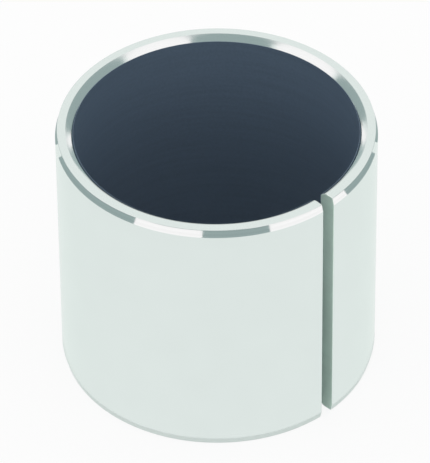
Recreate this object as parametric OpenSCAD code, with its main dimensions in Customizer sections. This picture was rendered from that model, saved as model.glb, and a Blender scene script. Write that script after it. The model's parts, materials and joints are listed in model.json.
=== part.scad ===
// Wrapped plain bearing bushing with a lined bore, standing on one end.
//
// The bushing is rolled from a flat strip of lined steel, so an open butt seam runs along its
// whole length. It is drawn free, as it lies on the bench: pressing it into its housing closes
// the seam, and the free diameters follow from the housing bore and from the seam's gap.
// The bore runs along Z, the lower end face lies on Z = 0, and the seam faces -Y.

/* [Fit] */
// Bore of the housing that the bushing is pressed into
housing_bore = 34; // [20:0.5:60]
// Whole wall thickness, steel backing and lining together
wall = 1.95; // [1.5:0.05:3]
// Length of the bushing along its bore
length = 30.1; // [6:0.1:60]

/* [Seam] */
// Open gap between the two ends of the strip, measured round the outer wall
seam_gap = 1.5; // [0.3:0.01:3]
// Width of the deburred edge where each cut end meets the outer wall
seam_edge_break = 0.12; // [0.05:0.01:0.3]

/* [End edges] */
// Length of the outer lead-in chamfer, measured along the wall
lead_in_length = 0.85; // [0.2:0.05:1.2]
// Slope of the outer lead-in chamfer against the wall, in degrees
lead_in_angle = 14; // [12:1:20]
// Width of the arched bore edge, measured across the end face from the bond
bore_edge_width = 0.8; // [0.4:0.05:0.9]
// Depth of the arched bore edge, measured along the bore
bore_edge_depth = 0.5; // [0.3:0.02:0.8]
// Height by which the bore edge arches out from a flat chamfer
bore_edge_crown = 0.11; // [0.05:0.01:0.12]

/* [Lining] */
// Thickness of the lining that is bonded to the backing
lining_thickness = 0.06; // [0.01:0.01:0.08]

/* [Hidden] */
$fn = 180;

// The strip is as long as the housing's circumference, so the free circle is longer by the gap.
outer_radius = housing_bore / 2 + seam_gap / (2 * PI);
bore_radius = outer_radius - wall;
bond_radius = bore_radius + lining_thickness;
lead_in_width = lead_in_length * tan(lead_in_angle);
// Arc of the bore edge at the lower end: its chord, its radius and its centre in the wall's section
bore_edge_chord = norm([bore_edge_width, bore_edge_depth]);
bore_edge_radius = (pow(bore_edge_chord / 2, 2) + pow(bore_edge_crown, 2)) / (2 * bore_edge_crown);
bore_edge_centre = [bond_radius + bore_edge_width / 2, bore_edge_depth / 2]
    + (bore_edge_radius - bore_edge_crown) / bore_edge_chord * [bore_edge_depth, bore_edge_width];
// Half of the angle that the open seam takes out of the circle
seam_half_angle = seam_gap / outer_radius / 2 * 180 / PI;
seam_direction = -90;

// Section of the steel wall: lead-in chamfers outside, arched edges towards the bore.
module backing_section() {
    difference() {
        polygon([
            [bond_radius, 0],
            [outer_radius - lead_in_width, 0],
            [outer_radius, lead_in_length],
            [outer_radius, length - lead_in_length],
            [outer_radius - lead_in_width, length],
            [bond_radius, length]
        ]);
        bore_edge_cut();
        translate([0, length])
            mirror([0, 1])
                bore_edge_cut();
    }
}

// Corner that the arched edge takes off the steel wall, between the lower end face and the bond.
module bore_edge_cut() {
    difference() {
        translate([bond_radius - bore_edge_crown, -bore_edge_crown])
            square([bore_edge_width + 2 * bore_edge_crown, bore_edge_depth + 2 * bore_edge_crown]);
        translate(bore_edge_centre)
            circle(bore_edge_radius);
    }
}

// Section of the lining, which ends where the arched edges begin.
module lining_section() {
    translate([bore_radius, bore_edge_depth])
        square([lining_thickness, length - 2 * bore_edge_depth]);
}

// Rolls a wall section round the bore, from one cut end of the strip to the other.
// The cut ends are square to the strip, so they stand radially once it is rolled.
module rolled_strip() {
    rotate([0, 0, seam_direction + seam_half_angle])
        rotate_extrude(angle = 360 - 2 * seam_half_angle)
            children();
}

// Wedge that takes the sharp corner off one cut end, at 45 degrees along the whole length.
module seam_edge_cut() {
    rotate([0, 0, seam_direction + seam_half_angle])
        linear_extrude(height = length)
            polygon([
                [outer_radius - 2 * seam_edge_break, -seam_edge_break],
                [outer_radius + seam_edge_break, -seam_edge_break],
                [outer_radius + seam_edge_break, 2 * seam_edge_break]
            ]);
}

// Plated steel strip, which carries the lining and is pressed into the housing.
module steel_backing() {
    color("#DDE6E3")
        difference() {
            rolled_strip()
                backing_section();
            seam_edge_cut();
            mirror([1, 0, 0])
                seam_edge_cut();
        }
}

// Sliding layer on the inside of the strip, cut through by the same seam.
module ptfe_lining() {
    color("#3E4B5B")
        rolled_strip()
            lining_section();
}

steel_backing();
ptfe_lining();
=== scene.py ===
"""Looks of a wrapped plain bearing bushing with a lined bore, laid out as a Blender add-on.

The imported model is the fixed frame. The sizes of the wall's section and of its seam are read from it,
in metres. Only the small roundings of the edges are this script's own.
"""
import json
import math
from collections import namedtuple

import bmesh
import bpy
from mathutils import Matrix, Vector


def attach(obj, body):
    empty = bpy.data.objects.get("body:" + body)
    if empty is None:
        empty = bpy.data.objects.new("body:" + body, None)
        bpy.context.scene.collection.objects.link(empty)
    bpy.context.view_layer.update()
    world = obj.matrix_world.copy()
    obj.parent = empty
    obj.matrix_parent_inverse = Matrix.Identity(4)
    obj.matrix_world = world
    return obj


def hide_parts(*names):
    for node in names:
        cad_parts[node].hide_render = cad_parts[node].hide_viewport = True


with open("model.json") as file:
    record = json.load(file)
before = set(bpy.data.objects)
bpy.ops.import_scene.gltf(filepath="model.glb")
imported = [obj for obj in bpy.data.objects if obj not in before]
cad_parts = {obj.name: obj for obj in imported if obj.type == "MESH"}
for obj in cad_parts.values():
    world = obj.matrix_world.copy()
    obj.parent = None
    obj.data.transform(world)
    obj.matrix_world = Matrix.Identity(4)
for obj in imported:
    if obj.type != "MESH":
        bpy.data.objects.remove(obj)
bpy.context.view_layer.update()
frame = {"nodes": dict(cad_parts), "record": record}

bl_info = {
    "name": "Lined Wrapped Bushing",
    "version": (1, 0, 0),
    "blender": (4, 5, 0),
    "location": "View3D > Sidebar > Bushing",
    "description": "Rolls a lined wrapped bushing from the packed model and sets its photo stage",
    "category": "Add Mesh",
}

MM = 0.001
# Lengths closer than this count as equal.
NEARLY = 0.001 * MM
# Edges that turn by more than the first angle get a rounding, and by more than the second stay sharp.
ROUNDED = math.radians(5)
SHARP = math.radians(32)
# An edge whose ends differ by less than this angle round the bore runs along a cut end.
ALONG_CUT = math.radians(0.005)
# Straight pieces in the arc of a bore edge, and in a rounding
ARC_STEPS = 16
ROUNDING_STEPS = 3


def linear(hex_colour):
    """Linear red, green and blue of an sRGB hex colour."""
    channels = [int(hex_colour[i:i + 2], 16) / 255 for i in (0, 2, 4)]
    return tuple(c / 12.92 if c <= 0.04045 else ((c + 0.055) / 1.055) ** 2.4 for c in channels)


# Sizes read from the frame

def round_mount(name):
    """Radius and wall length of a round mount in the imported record."""
    dims = next(mount["dims"] for mount in frame["record"]["mounts"] if mount["name"] == name)
    return dims["r_mm"] * MM, dims["length_mm"] * MM


def corners(node):
    """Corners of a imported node's mesh, in the part's frame."""
    return [vert.co for vert in frame["nodes"][node].data.vertices]


BORE_RADIUS, BORE_LENGTH = round_mount("bore")
OUTER_RADIUS, WALL_LENGTH = round_mount("outer_wall")
LENGTH = max(corner.z for corner in corners("steel_backing"))
BOND_RADIUS = max(corner.xy.length for corner in corners("ptfe_lining"))
END_RADII = [corner.xy.length for corner in corners("steel_backing") if corner.z < NEARLY]
BORE_EDGE_WIDTH = min(END_RADII) - BOND_RADIUS
BORE_EDGE_DEPTH = (LENGTH - BORE_LENGTH) / 2
SEAM_HALF_ANGLE = min(abs(math.atan2(corner.x, -corner.y)) for corner in corners("ptfe_lining"))


def chord_height(corner):
    """How far a corner stands out from the straight line across the lower bore edge."""
    inward = min(END_RADII) - corner.xy.length
    chord = math.hypot(BORE_EDGE_WIDTH, BORE_EDGE_DEPTH)
    return (inward * BORE_EDGE_DEPTH - corner.z * BORE_EDGE_WIDTH) / chord


BORE_EDGE_CROWN = max(chord_height(corner) for corner in corners("steel_backing"))


class BushingSizes(bpy.types.PropertyGroup):
    """Sizes of the wall's section and of its seam."""

    outer_radius: bpy.props.FloatProperty(
        name="Outer radius", description="Radius of the free outer wall",
        default=OUTER_RADIUS, min=MM, unit="LENGTH", precision=6)
    bore_radius: bpy.props.FloatProperty(
        name="Bore radius", description="Radius of the lined bore",
        default=BORE_RADIUS, min=MM, unit="LENGTH", precision=6)
    bond_radius: bpy.props.FloatProperty(
        name="Bond radius", description="Radius at which the lining meets the steel",
        default=BOND_RADIUS, min=MM, unit="LENGTH", precision=6)
    length: bpy.props.FloatProperty(
        name="Length", description="Length along the bore",
        default=LENGTH, min=MM, unit="LENGTH", precision=6)
    lead_in_length: bpy.props.FloatProperty(
        name="Lead-in length", description="Length of the outer lead-in chamfer along the wall",
        default=(LENGTH - WALL_LENGTH) / 2, min=0.0, unit="LENGTH", precision=6)
    bore_edge_depth: bpy.props.FloatProperty(
        name="Bore edge depth", description="Depth of the arched bore edge along the bore",
        default=BORE_EDGE_DEPTH, min=0.0, unit="LENGTH", precision=6)
    bore_edge_crown: bpy.props.FloatProperty(
        name="Bore edge crown", description="Height by which the bore edge arches out from a flat chamfer",
        default=BORE_EDGE_CROWN, min=0.0, unit="LENGTH", precision=6)
    end_inner_radius: bpy.props.FloatProperty(
        name="End face inner radius", description="Inner radius of the flat end face",
        default=min(END_RADII), min=MM, unit="LENGTH", precision=6)
    end_outer_radius: bpy.props.FloatProperty(
        name="End face outer radius", description="Outer radius of the flat end face",
        default=max(END_RADII), min=MM, unit="LENGTH", precision=6)
    seam_half_angle: bpy.props.FloatProperty(
        name="Seam half angle", description="Half of the angle that the open seam takes",
        default=SEAM_HALF_ANGLE, min=0.0, subtype="ANGLE")
    edge_round: bpy.props.FloatProperty(
        name="Edge rounding", description="Width of the rounded edges that run round the bushing",
        default=0.07 * MM, min=0.0, unit="LENGTH", precision=6)
    cut_end_round: bpy.props.FloatProperty(
        name="Cut end rounding", description="Width of the rounded edges of the strip's cut ends",
        default=0.09 * MM, min=0.0, unit="LENGTH", precision=6)
    stations: bpy.props.IntProperty(
        name="Stations", description="Sections set along the strip, round the bore",
        default=360, min=36)


class BushingColours(bpy.types.PropertyGroup):
    """Colours of the finishes and of the stage."""

    plated_steel: bpy.props.FloatVectorProperty(
        name="Plated steel", description="Tin plating on the rolled and turned faces",
        subtype="COLOR", size=3, min=0.0, max=1.0, default=linear("DDE6E3"))
    plating_sheen: bpy.props.FloatVectorProperty(
        name="Plating sheen", description="What the plating mirrors at a grazing angle",
        subtype="COLOR", size=3, min=0.0, max=1.0, default=linear("F8FCFA"))
    sheared_steel: bpy.props.FloatVectorProperty(
        name="Sheared steel", description="Cut ends of the strip, inside the seam",
        subtype="COLOR", size=3, min=0.0, max=1.0, default=linear("D7E6DF"))
    filled_ptfe: bpy.props.FloatVectorProperty(
        name="Filled PTFE", description="Dark sliding layer in the bore",
        subtype="COLOR", size=3, min=0.0, max=1.0, default=linear("5F7183"))
    paper: bpy.props.FloatVectorProperty(
        name="Paper", description="White floor and background",
        subtype="COLOR", size=3, min=0.0, max=1.0, default=linear("FFFFFF"))
    grey_card: bpy.props.FloatVectorProperty(
        name="Grey card", description="Cards that give the rim its dark bands",
        subtype="COLOR", size=3, min=0.0, max=1.0, default=linear("A8B5B6"))
    white_card: bpy.props.FloatVectorProperty(
        name="White card", description="Cards that give the rim its bright bands",
        subtype="COLOR", size=3, min=0.0, max=1.0, default=linear("FFF5F8"))


# Shader nodes

def add_node(tree, kind, inputs=None, **settings):
    """Adds a shader node with its settings. An input takes a value, or a socket to link from."""
    made = tree.nodes.new(kind)
    for key, value in settings.items():
        setattr(made, key, value)
    for key, value in (inputs or {}).items():
        if isinstance(value, bpy.types.NodeSocket):
            tree.links.new(value, made.inputs[key])
        else:
            made.inputs[key].default_value = value
    return made


def new_material(name):
    """An empty node material with its output node."""
    material = bpy.data.materials.new(name)
    material.use_nodes = True
    material.node_tree.nodes.clear()
    return material, material.node_tree, add_node(material.node_tree, "ShaderNodeOutputMaterial")


# Finishes

def rolled_tin_plate(colours):
    """Tin plate on cold-rolled strip: a satin pale grey with faint rolling lines round the wall."""
    material, tree, output = new_material("tin_plated_rolled_steel")
    # Rolling lines are about 0.03 mm apart. They are drawn at 0.16 mm so that they show.
    line_pitch, line_run = 0.16 * MM, 9 * MM
    place = add_node(tree, "ShaderNodeTexCoord")
    along_strip = add_node(tree, "ShaderNodeVectorMath", {
        0: place.outputs["Object"],
        1: (1 / line_run, 1 / line_run, 1 / line_pitch),
    }, operation="MULTIPLY")
    lines = add_node(tree, "ShaderNodeTexNoise", {
        "Vector": along_strip.outputs["Vector"], "Scale": 1.0, "Detail": 3.0, "Roughness": 0.6,
    })
    # Plating clouds a little over a few millimetres.
    cloud_size = 3.5 * MM
    clouds = add_node(tree, "ShaderNodeTexNoise", {
        "Vector": place.outputs["Object"], "Scale": 1 / cloud_size, "Detail": 2.0,
    })
    tone = add_node(tree, "ShaderNodeMix", {
        0: 0.45, 2: lines.outputs["Fac"], 3: clouds.outputs["Fac"],
    }, data_type="FLOAT")
    pale, deep = 1.035, 0.97
    colour = add_node(tree, "ShaderNodeMix", {
        0: tone.outputs[0],
        6: (*[c * deep for c in colours.plated_steel], 1.0),
        7: (*[min(1.0, c * pale) for c in colours.plated_steel], 1.0),
    }, data_type="RGBA")
    shine = add_node(tree, "ShaderNodeMapRange", {
        "Value": lines.outputs["Fac"], "From Min": 0.3, "From Max": 0.7, "To Min": 0.2, "To Max": 0.27,
    })
    relief = add_node(tree, "ShaderNodeBump", {
        "Height": lines.outputs["Fac"], "Strength": 0.25, "Distance": 0.004 * MM,
    })
    surface = add_node(tree, "ShaderNodeBsdfPrincipled", {
        "Base Color": colour.outputs[2], "Metallic": 1.0, "Roughness": shine.outputs["Result"],
        "Specular Tint": (*colours.plating_sheen, 1.0), "Normal": relief.outputs["Normal"],
    })
    tree.links.new(surface.outputs["BSDF"], output.inputs["Surface"])
    return material


def turned_tin_plate(colours):
    """Tin plate on turned chamfers and end faces: brighter than the wall, with fine tool rings."""
    material, tree, output = new_material("tin_plated_turned_steel")
    # A finishing cut feeds about 0.05 mm a turn. The rings are drawn at 0.12 mm so that they show.
    ring_pitch = 0.12 * MM
    # The wave node turns by 20 radians over a scaled length of 1.
    ring_scale = 2 * math.pi / 20 / ring_pitch
    place = add_node(tree, "ShaderNodeTexCoord")
    rings = add_node(tree, "ShaderNodeTexWave", {
        "Vector": place.outputs["Object"], "Scale": ring_scale, "Distortion": 0.6,
        "Detail": 1.0, "Detail Scale": 0.4,
    }, wave_type="RINGS", rings_direction="Z")
    pale, deep = 1.015, 0.98
    colour = add_node(tree, "ShaderNodeMix", {
        0: rings.outputs["Fac"],
        6: (*[c * deep for c in colours.plated_steel], 1.0),
        7: (*[min(1.0, c * pale) for c in colours.plated_steel], 1.0),
    }, data_type="RGBA")
    shine = add_node(tree, "ShaderNodeMapRange", {
        "Value": rings.outputs["Fac"], "To Min": 0.1, "To Max": 0.14,
    })
    surface = add_node(tree, "ShaderNodeBsdfPrincipled", {
        "Base Color": colour.outputs[2], "Metallic": 1.0, "Roughness": shine.outputs["Result"],
        "Specular Tint": (*colours.plating_sheen, 1.0),
    })
    tree.links.new(surface.outputs["BSDF"], output.inputs["Surface"])
    return material


def sheared_tin_plate(colours):
    """Tin plate over a sheared edge: dull and grainy, with faint tears across the strip's thickness."""
    material, tree, output = new_material("tin_plated_sheared_steel")
    # Shear tears are about 0.05 mm wide. They are drawn at 0.2 mm so that they show.
    tear_width, tear_run = 0.2 * MM, 2.5 * MM
    place = add_node(tree, "ShaderNodeTexCoord")
    across_strip = add_node(tree, "ShaderNodeVectorMath", {
        0: place.outputs["Object"],
        1: (1 / tear_run, 1 / tear_run, 1 / tear_width),
    }, operation="MULTIPLY")
    tears = add_node(tree, "ShaderNodeTexNoise", {
        "Vector": across_strip.outputs["Vector"], "Scale": 1.0, "Detail": 4.0, "Roughness": 0.65,
    })
    pale, deep = 1.1, 0.88
    colour = add_node(tree, "ShaderNodeMix", {
        0: tears.outputs["Fac"],
        6: (*[c * deep for c in colours.sheared_steel], 1.0),
        7: (*[min(1.0, c * pale) for c in colours.sheared_steel], 1.0),
    }, data_type="RGBA")
    shine = add_node(tree, "ShaderNodeMapRange", {
        "Value": tears.outputs["Fac"], "From Min": 0.3, "From Max": 0.7, "To Min": 0.62, "To Max": 0.75,
    })
    relief = add_node(tree, "ShaderNodeBump", {
        "Height": tears.outputs["Fac"], "Strength": 0.4, "Distance": 0.01 * MM,
    })
    surface = add_node(tree, "ShaderNodeBsdfPrincipled", {
        "Base Color": colour.outputs[2], "Metallic": 1.0, "Roughness": shine.outputs["Result"],
        "Normal": relief.outputs["Normal"],
    })
    tree.links.new(surface.outputs["BSDF"], output.inputs["Surface"])
    return material


def sintered_ptfe(colours):
    """Filled PTFE rolled into a sintered layer: waxy dark blue-grey with a fine, soft mottle."""
    material, tree, output = new_material("sintered_filled_ptfe")
    # Filler grains are about 0.1 mm across. They are drawn at 0.3 mm so that they show.
    grain, streak_run, streak_pitch = 0.3 * MM, 12 * MM, 0.5 * MM
    place = add_node(tree, "ShaderNodeTexCoord")
    mottle = add_node(tree, "ShaderNodeTexNoise", {
        "Vector": place.outputs["Object"], "Scale": 1 / grain, "Detail": 3.0, "Roughness": 0.6,
    })
    along_strip = add_node(tree, "ShaderNodeVectorMath", {
        0: place.outputs["Object"],
        1: (1 / streak_run, 1 / streak_run, 1 / streak_pitch),
    }, operation="MULTIPLY")
    streaks = add_node(tree, "ShaderNodeTexNoise", {
        "Vector": along_strip.outputs["Vector"], "Scale": 1.0, "Detail": 2.0,
    })
    tone = add_node(tree, "ShaderNodeMix", {
        0: 0.4, 2: mottle.outputs["Fac"], 3: streaks.outputs["Fac"],
    }, data_type="FLOAT")
    pale, deep = 1.22, 0.78
    colour = add_node(tree, "ShaderNodeMix", {
        0: tone.outputs[0],
        6: (*[c * deep for c in colours.filled_ptfe], 1.0),
        7: (*[min(1.0, c * pale) for c in colours.filled_ptfe], 1.0),
    }, data_type="RGBA")
    shine = add_node(tree, "ShaderNodeMapRange", {
        "Value": mottle.outputs["Fac"], "From Min": 0.3, "From Max": 0.7, "To Min": 0.42, "To Max": 0.55,
    })
    relief = add_node(tree, "ShaderNodeBump", {
        "Height": mottle.outputs["Fac"], "Strength": 0.3, "Distance": 0.01 * MM,
    })
    surface = add_node(tree, "ShaderNodeBsdfPrincipled", {
        "Base Color": colour.outputs[2], "Roughness": shine.outputs["Result"], "IOR": 1.35,
        "Normal": relief.outputs["Normal"],
    })
    tree.links.new(surface.outputs["BSDF"], output.inputs["Surface"])
    return material


# Pieces

EdgeArc = namedtuple("EdgeArc", "middle half_turn radius")


def edge_arc(sizes):
    """Arc of the bore edge: its slope in the middle, its turn from there to an end, and its radius."""
    width = sizes.end_inner_radius - sizes.bond_radius
    half_chord = math.hypot(width, sizes.bore_edge_depth) / 2
    half_turn = 2 * math.atan(sizes.bore_edge_crown / half_chord)
    middle = math.atan2(sizes.bore_edge_depth, width)
    return EdgeArc(middle, half_turn, half_chord / math.sin(half_turn))


def arched_edge(sizes):
    """Points of the lower bore edge's arc, from the bond to the end face."""
    arc = edge_arc(sizes)
    last = arc.middle - arc.half_turn
    points = []
    for step in range(ARC_STEPS + 1):
        slope = arc.middle + arc.half_turn * (1 - 2 * step / ARC_STEPS)
        inward = arc.radius * (math.sin(slope) - math.sin(last))
        depth = arc.radius * (math.cos(last) - math.cos(slope))
        points.append((sizes.end_inner_radius - inward, depth))
    return points


def both_ends(lower_half, length):
    """A whole wall section from the [radius, height] points of its lower half."""
    return lower_half + [(radius, length - height) for radius, height in reversed(lower_half)]


def rolled_strip(sizes, section):
    """Rolls a wall section round the bore, from one cut end of the strip to the other."""
    strip = bmesh.new()
    start = sizes.seam_half_angle - math.pi / 2
    sweep = 2 * (math.pi - sizes.seam_half_angle)
    rings = []
    for station in range(sizes.stations + 1):
        turn = Matrix.Rotation(start + sweep * station / sizes.stations, 4, "Z")
        rings.append([strip.verts.new(turn @ Vector((radius, 0, height))) for radius, height in section])
    for here, there in zip(rings, rings[1:]):
        for point in range(len(section)):
            strip.faces.new((here[point - 1], here[point], there[point], there[point - 1]))
    strip.faces.new(rings[0])
    strip.faces.new(rings[-1])
    bmesh.ops.recalc_face_normals(strip, faces=strip.faces)
    return strip


def broad_normals(strip):
    """Corner normals led by the broadest faces, so that only the narrow rounded edges bend the light."""
    square_mm = {face: face.calc_area() / MM ** 2 for face in strip.faces}
    normals = []
    for face in strip.faces:
        for vert in face.verts:
            smooth = [near for near in vert.link_faces if near.normal.angle(face.normal) < SHARP]
            led = sum((near.normal * square_mm[near] ** 2 for near in smooth), Vector())
            normals.append(led.normalized())
    return normals


def add_piece(strip, name, materials, node):
    """Makes a smooth object of a strip's mesh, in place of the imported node."""
    mesh = bpy.data.meshes.new(name)
    for face in strip.faces:
        face.smooth = True
    normals = broad_normals(strip)
    strip.to_mesh(mesh)
    strip.free()
    mesh.normals_split_custom_set(normals)
    for material in materials:
        mesh.materials.append(material)
    piece = bpy.data.objects.new(name, mesh)
    bpy.context.scene.collection.objects.link(piece)
    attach(piece, "root")
    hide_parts(node)


class BUSHING_OT_roll_steel_backing(bpy.types.Operator):
    """Roll the plated steel strip with its seam, its lead-ins and its arched bore edges"""

    bl_idname = "bushing.roll_steel_backing"
    bl_label = "Roll Steel Backing"
    bl_options = {"REGISTER", "UNDO"}

    def execute(self, context):
        sizes, colours = context.scene.bushing_sizes, context.scene.bushing_colours
        section = both_ends([
            *arched_edge(sizes),
            (sizes.end_outer_radius, 0.0),
            (sizes.outer_radius, sizes.lead_in_length),
        ], sizes.length)
        strip = rolled_strip(sizes, section)
        self.round_edges(strip, sizes)
        self.sort_faces(strip)
        materials = [rolled_tin_plate(colours), turned_tin_plate(colours), sheared_tin_plate(colours)]
        add_piece(strip, "rolled_steel_backing", materials, "steel_backing")
        return {"FINISHED"}

    def round_edges(self, strip, sizes):
        """Rounds the edges of the cut ends, then those that run round the bushing."""
        under_lining = sizes.bond_radius + NEARLY
        for width, runs_round in ((sizes.cut_end_round, False), (sizes.edge_round, True)):
            edges = [edge for edge in strip.edges
                     if edge.calc_face_angle(0.0) > ROUNDED
                     and max(vert.co.xy.length for vert in edge.verts) > under_lining
                     and self.runs_round(edge) == runs_round]
            bmesh.ops.bevel(strip, geom=edges, offset=width, segments=ROUNDING_STEPS, profile=0.5,
                            affect="EDGES", clamp_overlap=True)

    def runs_round(self, edge):
        """Whether an edge runs round the bushing, rather than along the contour of a cut end."""
        first, second = (math.atan2(vert.co.x, vert.co.y) for vert in edge.verts)
        return abs(first - second) > ALONG_CUT

    def sort_faces(self, strip):
        """Gives the wall, the turned ends and the cut ends their own finish."""
        wall, turned, sheared = range(3)
        # How far a face has to look along the strip or along the bore to count as sheared or turned
        along_strip, along_bore = 0.5, 0.1
        for face in strip.faces:
            centre = face.calc_center_median()
            round_bore = Vector((-centre.y, centre.x, 0)).normalized()
            if abs(face.normal.dot(round_bore)) > along_strip:
                face.material_index = sheared
            elif abs(face.normal.z) > along_bore:
                face.material_index = turned
            else:
                face.material_index = wall


class BUSHING_OT_bond_ptfe_lining(bpy.types.Operator):
    """Lay the dark sliding layer on the inside of the strip"""

    bl_idname = "bushing.bond_ptfe_lining"
    bl_label = "Bond PTFE Lining"
    bl_options = {"REGISTER", "UNDO"}

    def execute(self, context):
        sizes, colours = context.scene.bushing_sizes, context.scene.bushing_colours
        section = both_ends([
            (sizes.bore_radius, sizes.bore_edge_depth),
            (sizes.bond_radius, sizes.bore_edge_depth),
        ], sizes.length)
        strip = rolled_strip(sizes, section)
        add_piece(strip, "bonded_ptfe_lining", [sintered_ptfe(colours)], "ptfe_lining")
        return {"FINISHED"}


# Stage

# The camera stands as it did for the photograph: a long lens, looking down on the bushing.
CAMERA_AZIMUTH = -42.72
CAMERA_ELEVATION = 40.493
CAMERA_ROLL = 0.580
CAMERA_DISTANCE = 551.0 * MM
CAMERA_FOCAL_PX = 5075.0
PHOTO_LONG_SIDE_PX = 463
# Where the bushing's centre lies in the picture, right of and above the middle
CENTRE_RIGHT = 0.2643 * MM
CENTRE_UP = -0.3125 * MM

FLOOR_HALF_SIDE = 3.0
# Share of plain white in the paper that the camera sees. The rest is lit paper with the shadow on it.
SEEN_SHARE = 0.85
# Mirrors see plain white paper from this far outside the wall on. In a ring inside that, which reaches
# under the lead-in, they see a share of it, and closer to the axis only lit paper.
CLEAR_MARGIN = 0.42 * MM
DIM_RING = 0.65 * MM
DIM_SHARE = 0.35

# The light tent is dim at the horizon, full from the first angle to the second, and dimmer overhead.
TENT_FULL_FROM = math.radians(18)
TENT_FULL_TO = math.radians(58)
TENT_HORIZON = 0.15
TENT_TOP = 0.5

# The two rim edges of the upper end that mirror cards: the lead-in chamfer and the arched bore edge.
# slope is the edge's normal above the outward direction, and spread how far it turns to either side.
RimEdge = namedtuple("RimEdge", "radius height slope spread card_level")
# A band of light or shade on a rim edge runs between two angles round the bore, in degrees to the right
# of the camera's side. It leans where they differ between the end face's side and the wall's side.
Band = namedtuple("Band", "tone at_face at_wall", defaults=(None,))
LEAD_IN_BANDS = [
    Band("grey", (-100, -83)),
    Band("grey", (-76, -30.4)),
    Band("white", (-30.4, -5.3)),
    Band("grey", (-5.3, 18.6)),
    Band("white", (18.6, 52.2)),
    Band("grey", (52.2, 76.5)),
    Band("grey", (82.5, 100)),
]
BORE_EDGE_BANDS = [
    Band("pale", (66, 74), (38, 80)),
    Band("white", (76, 81), (83, 95)),
    Band("grey", (90, 123), (95, 123)),
    Band("white", (125, 155)),
    Band("grey", (157, 190)),
    Band("white", (190, 218)),
    Band("grey", (220, 275), (220, 270)),
    Band("white", (279, 284), (270, 280)),
    Band("pale", (286, 294), (281, 322)),
]
# Brightness of the grey card, of the same card lit more, and of the white card
GREY_LEVEL = 1.0
PALE_LEVEL = 1.12
WHITE_LEVEL = 1.27
# The lead-in's cards hang close under the rim, so that the wall mirrors little of them from other sides.
# The bore edge's cards hang high overhead, so far off that all of an edge's width sees the same card.
LEAD_IN_CARD_DROP = 1.4 * MM
LEAD_IN_SPREAD = math.radians(8)
BORE_CARD_LEVEL = 1500 * MM
FARTHEST_CARD = 2000 * MM
CARD_STEPS_ACROSS = 8
CARD_STEPS_ALONG = 24


def white_paper(colours, clear_radius):
    """White paper sweep: it shows white to the camera and to mirrors, and keeps a faint shadow."""
    material, tree, output = new_material("white_paper")
    rays = add_node(tree, "ShaderNodeLightPath")
    place = add_node(tree, "ShaderNodeTexCoord")
    from_axis = add_node(tree, "ShaderNodeVectorMath", {0: place.outputs["Object"]}, operation="LENGTH")
    clear = add_node(tree, "ShaderNodeMath", {
        0: from_axis.outputs["Value"], 1: clear_radius,
    }, operation="GREATER_THAN")
    outside = add_node(tree, "ShaderNodeMath", {
        0: from_axis.outputs["Value"], 1: clear_radius - DIM_RING,
    }, operation="GREATER_THAN")
    mirrored_share = add_node(tree, "ShaderNodeMath", {
        0: outside.outputs["Value"], 1: DIM_SHARE, 2: clear.outputs["Value"],
    }, operation="MULTIPLY_ADD", use_clamp=True)
    mirrored = add_node(tree, "ShaderNodeMath", {
        0: rays.outputs["Is Glossy Ray"], 1: mirrored_share.outputs["Value"],
    }, operation="MULTIPLY")
    seen = add_node(tree, "ShaderNodeMath", {
        0: rays.outputs["Is Camera Ray"], 1: rays.outputs["Is Transmission Ray"],
    }, operation="MAXIMUM")
    seen_share = add_node(tree, "ShaderNodeMath", {
        0: seen.outputs["Value"], 1: SEEN_SHARE,
    }, operation="MULTIPLY")
    plain_share = add_node(tree, "ShaderNodeMath", {
        0: mirrored.outputs["Value"], 1: seen_share.outputs["Value"],
    }, operation="ADD")
    lit = add_node(tree, "ShaderNodeBsdfDiffuse", {"Color": (*colours.paper, 1.0)})
    plain = add_node(tree, "ShaderNodeEmission", {"Color": (*colours.paper, 1.0), "Strength": 1.0})
    mixed = add_node(tree, "ShaderNodeMixShader", {
        0: plain_share.outputs["Value"], 1: lit.outputs["BSDF"], 2: plain.outputs["Emission"],
    })
    tree.links.new(mixed.outputs["Shader"], output.inputs["Surface"])
    return material


def card_paper(name, colour, strength):
    """Evenly lit card paper, matt and without a pattern."""
    material, tree, output = new_material(name)
    lit = add_node(tree, "ShaderNodeEmission", {"Color": (*colour, 1.0), "Strength": strength})
    tree.links.new(lit.outputs["Emission"], output.inputs["Surface"])
    return material


def mirror_card(name, material, edge, band):
    """Card that hangs where a band of a rim edge mirrors it into the camera. Only mirrors see it."""
    elevation = math.radians(CAMERA_ELEVATION)
    view = Vector((0, math.cos(elevation), -math.sin(elevation)))
    to_part = Matrix.Rotation(math.radians(CAMERA_AZIMUTH), 3, "Z")
    at_wall = band.at_wall or band.at_face
    sheet = bmesh.new()
    rows = []
    for across in range(CARD_STEPS_ACROSS + 1):
        share = across / CARD_STEPS_ACROSS
        slope = edge.slope + edge.spread * (1 - 2 * share)
        first, last = (a + (b - a) * share for a, b in zip(band.at_face, at_wall))
        row = []
        for along in range(CARD_STEPS_ALONG + 1):
            angle = math.radians(first + (last - first) * along / CARD_STEPS_ALONG)
            outward = Vector((math.sin(angle), -math.cos(angle), 0))
            spot = outward * edge.radius + Vector((0, 0, edge.height))
            normal = outward * math.cos(slope) + Vector((0, 0, math.sin(slope)))
            ray = view.reflect(normal)
            reach = min(FARTHEST_CARD, abs((edge.card_level - spot.z) / ray.z))
            row.append(sheet.verts.new(to_part @ (spot + ray * reach)))
        rows.append(row)
    for here, there in zip(rows, rows[1:]):
        for step in range(CARD_STEPS_ALONG):
            sheet.faces.new((here[step], here[step + 1], there[step + 1], there[step]))
    mesh = bpy.data.meshes.new(name)
    sheet.to_mesh(mesh)
    sheet.free()
    mesh.materials.append(material)
    card = bpy.data.objects.new(name, mesh)
    card.visible_camera = False
    card.visible_diffuse = False
    card.visible_transmission = False
    card.visible_shadow = False
    bpy.context.scene.collection.objects.link(card)


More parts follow.
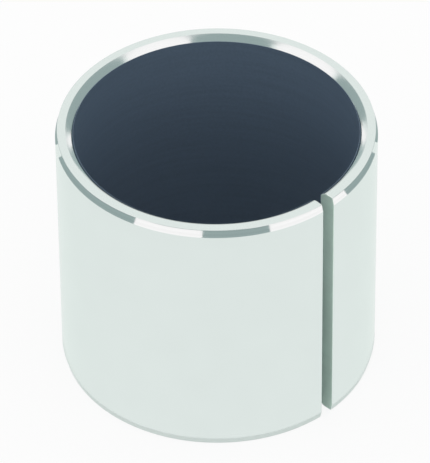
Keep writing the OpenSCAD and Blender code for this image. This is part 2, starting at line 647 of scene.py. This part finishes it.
class BUSHING_OT_set_stage(bpy.types.Operator):
    """Set the white floor, the soft light, the reflection cards and the camera"""

    bl_idname = "bushing.set_stage"
    bl_label = "Set Stage"
    bl_options = {"REGISTER", "UNDO"}

    def execute(self, context):
        sizes, colours = context.scene.bushing_sizes, context.scene.bushing_colours
        self.lay_floor(colours, sizes)
        self.light_evenly(context.scene, colours)
        self.hang_cards(colours, sizes)
        self.place_camera(context.scene, sizes)
        context.scene.view_settings.view_transform = "Standard"
        return {"FINISHED"}

    def lay_floor(self, colours, sizes):
        """Lays a wide sheet of white paper under the bushing."""
        mesh = bpy.data.meshes.new("paper_floor")
        corner_signs = [(-1, -1), (1, -1), (1, 1), (-1, 1)]
        floor_corners = [(x * FLOOR_HALF_SIDE, y * FLOOR_HALF_SIDE, 0) for x, y in corner_signs]
        mesh.from_pydata(floor_corners, [], [(0, 1, 2, 3)])
        mesh.materials.append(white_paper(colours, sizes.outer_radius + CLEAR_MARGIN))
        floor = bpy.data.objects.new("paper_floor", mesh)
        bpy.context.scene.collection.objects.link(floor)

    def light_evenly(self, scene, colours):
        """Surrounds the bushing with the soft white light of a tent."""
        world = bpy.data.worlds.new("light_tent")
        world.use_nodes = True
        tree = world.node_tree
        tree.nodes.clear()
        output = add_node(tree, "ShaderNodeOutputWorld")
        place = add_node(tree, "ShaderNodeTexCoord")
        height = add_node(tree, "ShaderNodeSeparateXYZ", {"Vector": place.outputs["Generated"]})
        low_down = add_node(tree, "ShaderNodeMapRange", {
            "Value": height.outputs["Z"], "From Min": 0.0, "From Max": math.sin(TENT_FULL_FROM),
            "To Min": TENT_HORIZON, "To Max": 1.0,
        })
        at_top = add_node(tree, "ShaderNodeMapRange", {
            "Value": height.outputs["Z"], "From Min": math.sin(TENT_FULL_TO), "From Max": 1.0,
            "To Min": 1.0, "To Max": TENT_TOP,
        })
        strength = add_node(tree, "ShaderNodeMath", {
            0: low_down.outputs["Result"], 1: at_top.outputs["Result"],
        }, operation="MULTIPLY")
        glow = add_node(tree, "ShaderNodeBackground", {
            "Color": (*colours.paper, 1.0), "Strength": strength.outputs["Value"],
        })
        tree.links.new(glow.outputs["Background"], output.inputs["Surface"])
        scene.world = world

    def hang_cards(self, colours, sizes):
        """Hangs the grey and white cards that the two rim edges of the upper end mirror."""
        papers = {
            "grey": card_paper("grey_card", colours.grey_card, GREY_LEVEL),
            "pale": card_paper("pale_card", colours.grey_card, PALE_LEVEL),
            "white": card_paper("white_card", colours.white_card, WHITE_LEVEL),
        }
        lead_in = RimEdge(
            radius=(sizes.outer_radius + sizes.end_outer_radius) / 2,
            height=sizes.length - sizes.lead_in_length / 2,
            slope=math.atan2(sizes.outer_radius - sizes.end_outer_radius, sizes.lead_in_length),
            spread=LEAD_IN_SPREAD,
            card_level=sizes.length - LEAD_IN_CARD_DROP)
        arc = edge_arc(sizes)
        bore_edge = RimEdge(
            radius=(sizes.end_inner_radius + sizes.bond_radius) / 2,
            height=sizes.length - sizes.bore_edge_depth / 2,
            slope=math.pi / 2 + arc.middle,
            spread=-arc.half_turn,
            card_level=BORE_CARD_LEVEL)
        groups = [("lead_in_card", lead_in, LEAD_IN_BANDS), ("bore_card", bore_edge, BORE_EDGE_BANDS)]
        for group, edge, bands in groups:
            for number, band in enumerate(bands, 1):
                mirror_card(f"{group}_{number}", papers[band.tone], edge, band)

    def place_camera(self, scene, sizes):
        """Puts the camera where the photograph was taken from."""
        data = bpy.data.cameras.new("photo_camera")
        data.sensor_width = 36.0
        data.lens = CAMERA_FOCAL_PX * data.sensor_width / PHOTO_LONG_SIDE_PX
        data.clip_start = 0.01
        data.clip_end = 20.0
        turn = Matrix.Rotation(math.radians(CAMERA_AZIMUTH), 3, "Z")
        tilt = Matrix.Rotation(math.radians(90 - CAMERA_ELEVATION), 3, "X")
        level = turn @ tilt
        centre = Vector((0, 0, sizes.length / 2))
        away = level @ Vector((-CENTRE_RIGHT, -CENTRE_UP, CAMERA_DISTANCE))
        roll = Matrix.Rotation(math.radians(-CAMERA_ROLL), 3, "Z")
        camera = bpy.data.objects.new("photo_camera", data)
        camera.matrix_world = Matrix.Translation(centre + away) @ (level @ roll).to_4x4()
        scene.collection.objects.link(camera)
        scene.camera = camera


# Sidebar and registration

class BUSHING_PT_panel(bpy.types.Panel):
    """Sidebar panel that lists the bushing's operators, sizes and colours"""

    bl_idname = "BUSHING_PT_panel"
    bl_label = "Lined Wrapped Bushing"
    bl_space_type = "VIEW_3D"
    bl_region_type = "UI"
    bl_category = "Bushing"

    def draw(self, context):
        for operator in OPERATORS:
            self.layout.operator(operator.bl_idname)
        for settings in (context.scene.bushing_sizes, context.scene.bushing_colours):
            box = self.layout.box()
            for name in settings.__annotations__:
                box.prop(settings, name)


OPERATORS = (BUSHING_OT_roll_steel_backing, BUSHING_OT_bond_ptfe_lining, BUSHING_OT_set_stage)
CLASSES = (BushingSizes, BushingColours, *OPERATORS, BUSHING_PT_panel)


def register():
    """Adds the classes, and the sizes and colours of the scene."""
    for each in CLASSES:
        bpy.utils.register_class(each)
    bpy.types.Scene.bushing_sizes = bpy.props.PointerProperty(type=BushingSizes)
    bpy.types.Scene.bushing_colours = bpy.props.PointerProperty(type=BushingColours)


def unregister():
    """Takes away what register added."""
    del bpy.types.Scene.bushing_colours
    del bpy.types.Scene.bushing_sizes
    for each in reversed(CLASSES):
        bpy.utils.unregister_class(each)


def main():
    """Builds the pieces and the stage."""
    register()
    bpy.ops.bushing.roll_steel_backing()
    bpy.ops.bushing.bond_ptfe_lining()
    bpy.ops.bushing.set_stage()
    bpy.context.view_layer.update()


if __name__ == "__main__":
    main()
